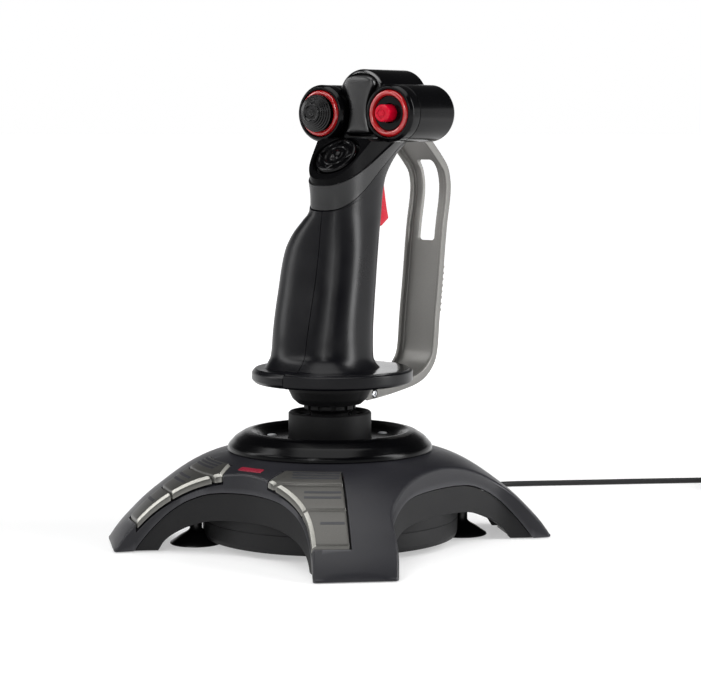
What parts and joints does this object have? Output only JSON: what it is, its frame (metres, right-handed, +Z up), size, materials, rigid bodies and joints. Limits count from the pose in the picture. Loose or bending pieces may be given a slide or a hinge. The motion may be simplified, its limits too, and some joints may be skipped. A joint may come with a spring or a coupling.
{
  "type": "flight joystick",
  "caption": "Desk flight stick: arched four-legged base with keys, tilting grip with hand rest, twin-pod thumb head, trigger and large knuckle guard, thin lead.",
  "frame": {"origin": "on the desk, under the middle of the base", "axes": "+Z up, +Y away from the player, +X to the player's right"},
  "size_m": [0.2378, 0.3741, 0.2292],
  "materials": {
    "base_satin": "fine-textured charcoal satin",
    "base_inner": "fine-textured dark grey",
    "key_grey": "warm grey metallic paint, satin",
    "gloss_black": "gloss black",
    "satin_black": "satin black",
    "matt_black": "matt black",
    "rubber": "soft black rubber",
    "steel": "bright zinc plated",
    "crimson": "crimson, semi gloss",
    "ring_red": "translucent red, gloss",
    "guard_grey": "gunmetal grey satin paint",
    "board": "green solder mask",
    "ballast": "bare plate",
    "cord_black": "matt black jacket"
  },
  "bodies": {
    "base": {"base_upper_shell": "base_satin", "base_lower_shell": "base_inner", "base_bottom_cover": "base_inner", "ballast_plate": "ballast", "main_pcb": "board", "sensor_chip": "matt_black", "gimbal_housing": "matt_black", "dome_ring": "gloss_black", "collar": "matt_black", "badge_bar": "crimson", "cable_gland": "rubber", "usb_cord": "cord_black", "cord_coil": "cord_black", "usb_plug": "matt_black", "dome_screw_1": "steel", "dome_screw_2": "steel", "dome_screw_3": "steel", "dome_screw_4": "steel", "dome_screw_5": "steel", "suction_cup_1": "rubber", "suction_cup_2": "rubber", "suction_cup_3": "rubber", "suction_cup_4": "rubber", "foot_pad_1": "rubber", "foot_pad_2": "rubber", "foot_pad_3": "rubber", "foot_pad_4": "rubber"},
    "gimbal": {"gimbal_ring": "steel"},
    "stick": {"stick_neck": "matt_black", "stick_shaft": "steel", "centering_spring": "steel", "sensor_magnet": "steel", "stick_bowl": "matt_black", "grip_left": "satin_black", "grip_right": "satin_black", "grip_pcb": "board", "head_neck": "gloss_black", "head_body": "gloss_black", "pod_cap_left": "gloss_black", "pod_cap_right": "gloss_black", "red_ring_left": "ring_red", "red_ring_right": "ring_red", "guard": "guard_grey", "guard_screw": "steel", "trigger_pin": "steel"},
    "trigger_body": {"trigger": "crimson"},
    "saddle_body": {"saddle_button": "gloss_black"},
    "thumb_body": {"thumb_button": "crimson"},
    "pinky_body": {"pinky_button": "crimson"},
    "hat_gimbal": {"hat_cross": "matt_black"},
    "hat_body": {"hat_disc": "gloss_black"},
    "cone_gimbal": {"cone_cross": "matt_black"},
    "cone_body": {"cone_hat": "rubber"},
    "key_l1": {"base_key_l1": "key_grey"},
    "key_l2": {"base_key_l2": "key_grey"},
    "key_l3": {"base_key_l3": "key_grey"},
    "key_r1": {"base_key_r1": "key_grey"},
    "key_r2": {"base_key_r2": "key_grey"},
    "key_r3": {"base_key_r3": "key_grey"}
  },
  "joints": [
    {"name": "stick_pitch", "type": "hinge", "parent": "base", "child": "gimbal", "pos_m": [0, 0, 0.058], "axis": [1, 0, 0], "range_deg": [-10, 10], "stiffness_Nm_per_rad": 3, "springref_deg": 0.84},
    {"name": "stick_roll", "type": "hinge", "parent": "gimbal", "child": "stick", "pos_m": [0, 0, 0.058], "axis": [0, 1, 0], "range_deg": [-10, 10], "stiffness_Nm_per_rad": 3},
    {"name": "trigger_pull", "type": "hinge", "parent": "stick", "child": "trigger_body", "pos_m": [0, 0.03, 0.1795], "axis": [-1, 0, 0], "range_deg": [0, 8], "stiffness_Nm_per_rad": 0.3, "springref_deg": -5.73},
    {"name": "saddle_press", "type": "slide", "parent": "stick", "child": "saddle_body", "axis": [0, 1, 0], "range_m": [0, 0.0012], "stiffness_N_per_m": 400, "springref_m": -0.0006},
    {"name": "thumb_press", "type": "slide", "parent": "stick", "child": "thumb_body", "axis": [0, 1, 0], "range_m": [0, 0.0015], "stiffness_N_per_m": 400, "springref_m": -0.0006},
    {"name": "pinky_press", "type": "slide", "parent": "stick", "child": "pinky_body", "axis": [0, -1, 0], "range_m": [0, 0.0012], "stiffness_N_per_m": 400, "springref_m": -0.0006},
    {"name": "hat_updown", "type": "hinge", "parent": "stick", "child": "hat_gimbal", "pos_m": [0, 0.0096, 0.1824], "axis": [1, 0, 0], "range_deg": [-5, 5], "stiffness_Nm_per_rad": 0.12},
    {"name": "hat_leftright", "type": "hinge", "parent": "hat_gimbal", "child": "hat_body", "pos_m": [0, 0.0096, 0.1824], "axis": [0, 0.7071, 0.7071], "range_deg": [-5, 5], "stiffness_Nm_per_rad": 0.12},
    {"name": "cone_updown", "type": "hinge", "parent": "stick", "child": "cone_gimbal", "pos_m": [-0.0208, 0.0246, 0.2072], "axis": [1, 0, 0], "range_deg": [-5, 5], "stiffness_Nm_per_rad": 0.12},
    {"name": "cone_leftright", "type": "hinge", "parent": "cone_gimbal", "child": "cone_body", "pos_m": [-0.0208, 0.0246, 0.2072], "axis": [0, 0, 1], "range_deg": [-5, 5], "stiffness_Nm_per_rad": 0.12},
    {"name": "key_l1_press", "type": "slide", "parent": "base", "child": "key_l1", "axis": [0, 0, -1], "range_m": [0, 0.0012], "stiffness_N_per_m": 400, "springref_m": -0.0006},
    {"name": "key_l2_press", "type": "slide", "parent": "base", "child": "key_l2", "axis": [0, 0, -1], "range_m": [0, 0.0012], "stiffness_N_per_m": 400, "springref_m": -0.0006},
    {"name": "key_l3_press", "type": "slide", "parent": "base", "child": "key_l3", "axis": [0, 0, -1], "range_m": [0, 0.0012], "stiffness_N_per_m": 400, "springref_m": -0.0006},
    {"name": "key_r1_press", "type": "slide", "parent": "base", "child": "key_r1", "axis": [0, 0, -1], "range_m": [0, 0.0012], "stiffness_N_per_m": 400, "springref_m": -0.0006},
    {"name": "key_r2_press", "type": "slide", "parent": "base", "child": "key_r2", "axis": [0, 0, -1], "range_m": [0, 0.0012], "stiffness_N_per_m": 400, "springref_m": -0.0006},
    {"name": "key_r3_press", "type": "slide", "parent": "base", "child": "key_r3", "axis": [0, 0, -1], "range_m": [0, 0.0012], "stiffness_N_per_m": 400, "springref_m": -0.0006}
  ]
}
